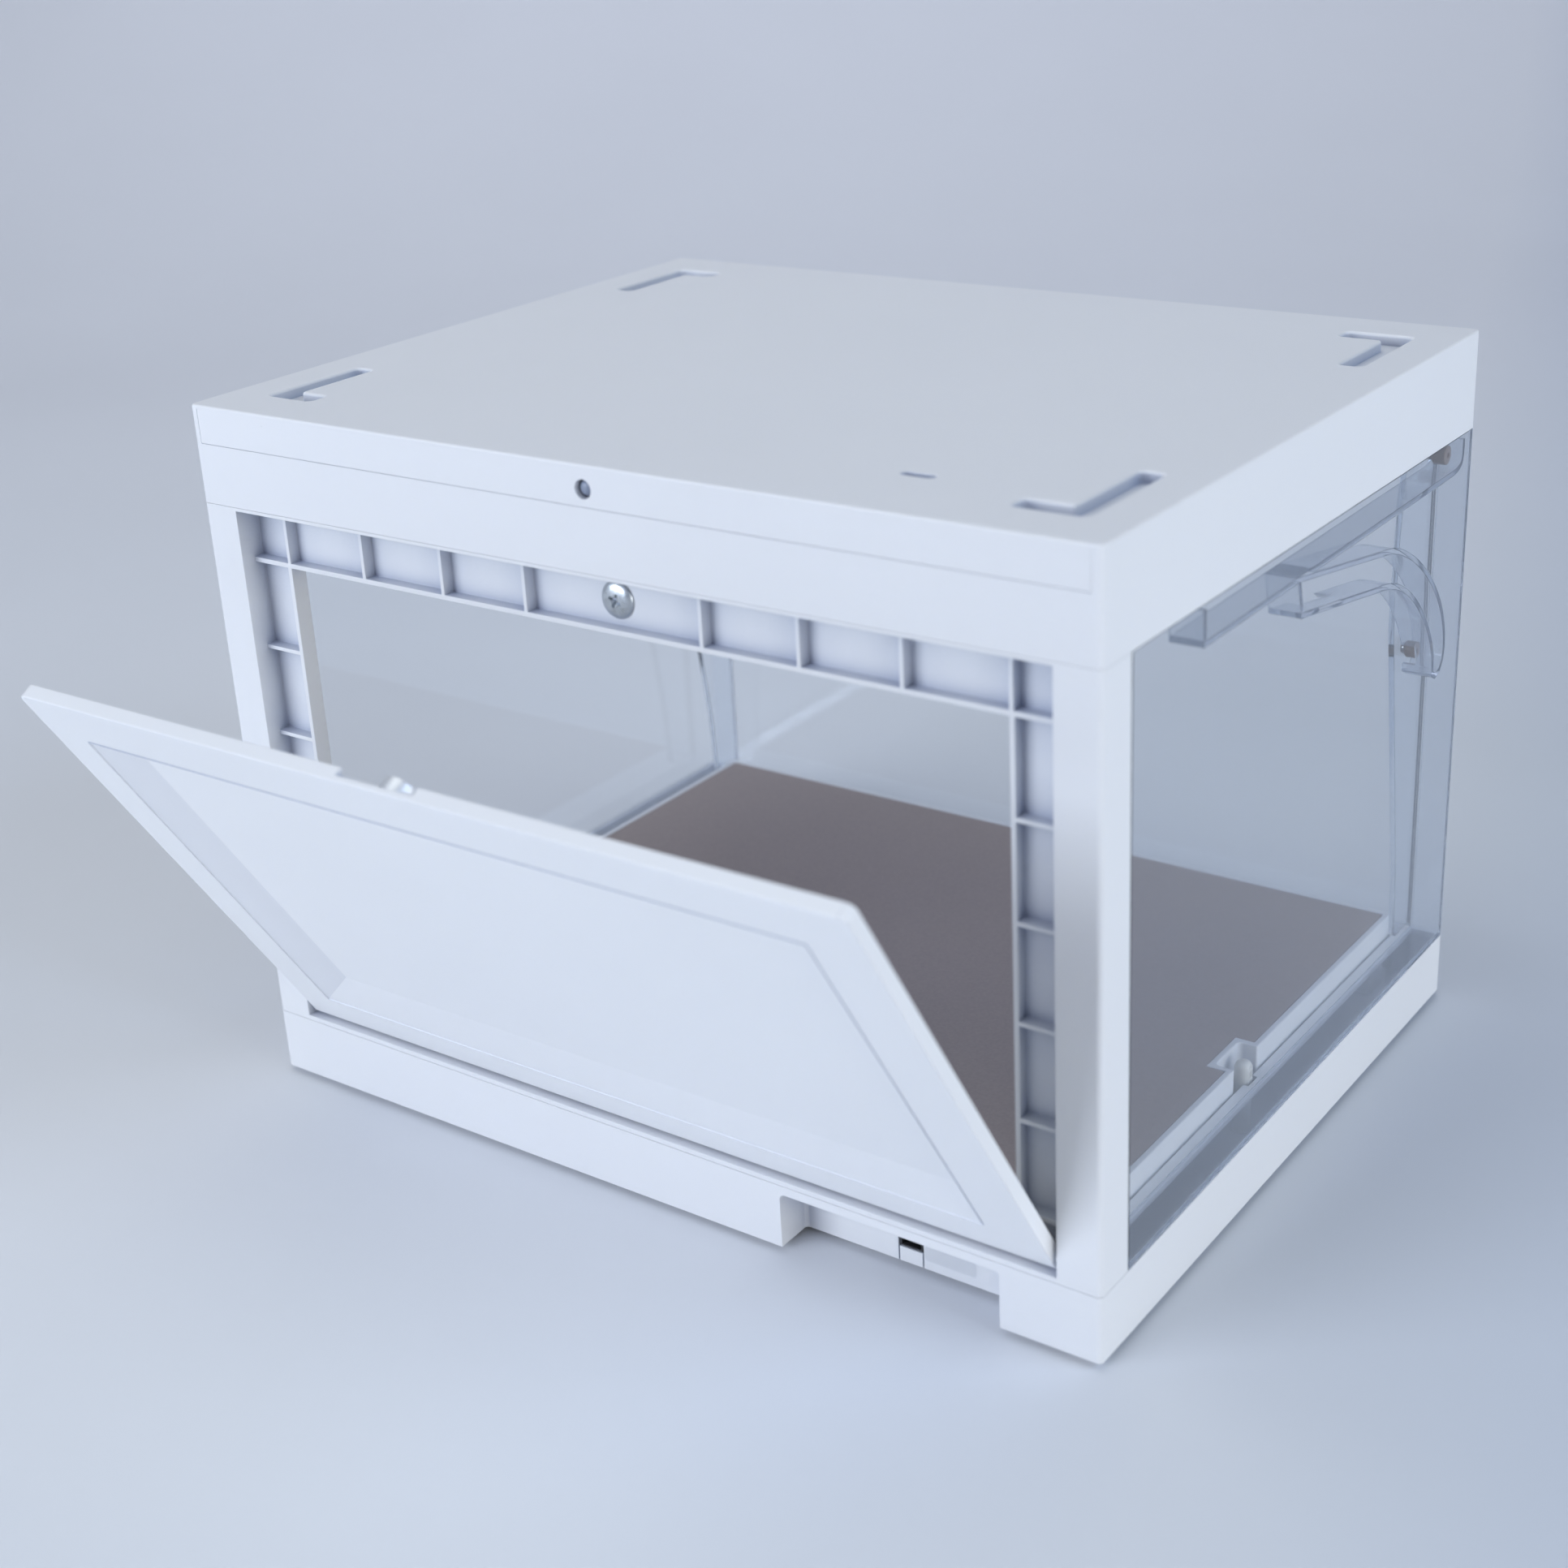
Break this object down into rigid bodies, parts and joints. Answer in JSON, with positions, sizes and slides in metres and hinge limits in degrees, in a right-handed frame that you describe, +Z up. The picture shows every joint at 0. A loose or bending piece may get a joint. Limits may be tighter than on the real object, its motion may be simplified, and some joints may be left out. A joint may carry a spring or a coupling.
{
  "type": "shoe box",
  "caption": "Stackable shoe display box with a drop-down front door held by a magnet, clear side panels, a clear up-and-over rear door and a raised floor.",
  "frame": {"origin": "centre of the underside of the base", "axes": "+Z up, -Y towards the drop-down front door, +X towards the right side seen from the front"},
  "size_m": [0.36, 0.3806, 0.2674],
  "materials": {
    "white_moulding": "satin, faintly bluish white moulded plastic",
    "clear_moulding": "clear moulded plastic with bluish edges",
    "mat": "grey-taupe, fine-grained",
    "peg": "cream, satin",
    "magnet": "nickel-plated",
    "zinc": "bright zinc plate",
    "lens": "dark, polished",
    "circuit_board": "solder mask",
    "light_board": "white solder mask",
    "frosted_cover": "frosted",
    "cable": "satin sheath",
    "black_socket": "satin",
    "film": "clear film, blank",
    "brown_pin": "dark brown, satin"
  },
  "bodies": {
    "root": {"base_tray": "white_moulding", "floor_platform": "white_moulding", "floor_mat": "mat", "locating_peg_left": "peg", "locating_peg_right": "peg", "front_frame": "white_moulding", "latch_screw": "zinc", "lid": "white_moulding", "front_strip": "white_moulding", "sensor_lens": "lens", "sensor_board": "circuit_board", "led_bar": "light_board", "led_diffuser": "frosted_cover", "power_cable": "cable", "led_lead": "cable", "power_socket": "black_socket", "blank_sticker": "film", "end_panel_left": "clear_moulding", "end_panel_right": "clear_moulding"},
    "drop_door": {"drop_door": "white_moulding", "door_magnet": "magnet"},
    "rear_carriage": {"upper_guide_pin_left": "brown_pin", "upper_guide_pin_right": "brown_pin"},
    "rear_door": {"rear_door": "clear_moulding", "lower_guide_pin_left": "brown_pin", "lower_guide_pin_right": "brown_pin"}
  },
  "joints": [
    {"name": "drop_door_hinge", "type": "hinge", "parent": "root", "child": "drop_door", "pos_m": [0, -0.1368, 0.0324], "axis": [1, 0, 0], "range_deg": [-32, 0]},
    {"name": "rear_door_slide", "type": "slide", "parent": "root", "child": "rear_carriage", "axis": [0, -1, 0], "range_m": [0, 0.19]},
    {"name": "rear_door_tilt", "type": "hinge", "parent": "rear_carriage", "child": "rear_door", "pos_m": [0, 0.1266, 0.2216], "axis": [1, 0, 0], "range_deg": [0, 85.25]}
  ],
  "couplings": [
    {"joint": "rear_door_tilt", "follows": "rear_door_slide", "rad_per_m": 7.8264}
  ]
}
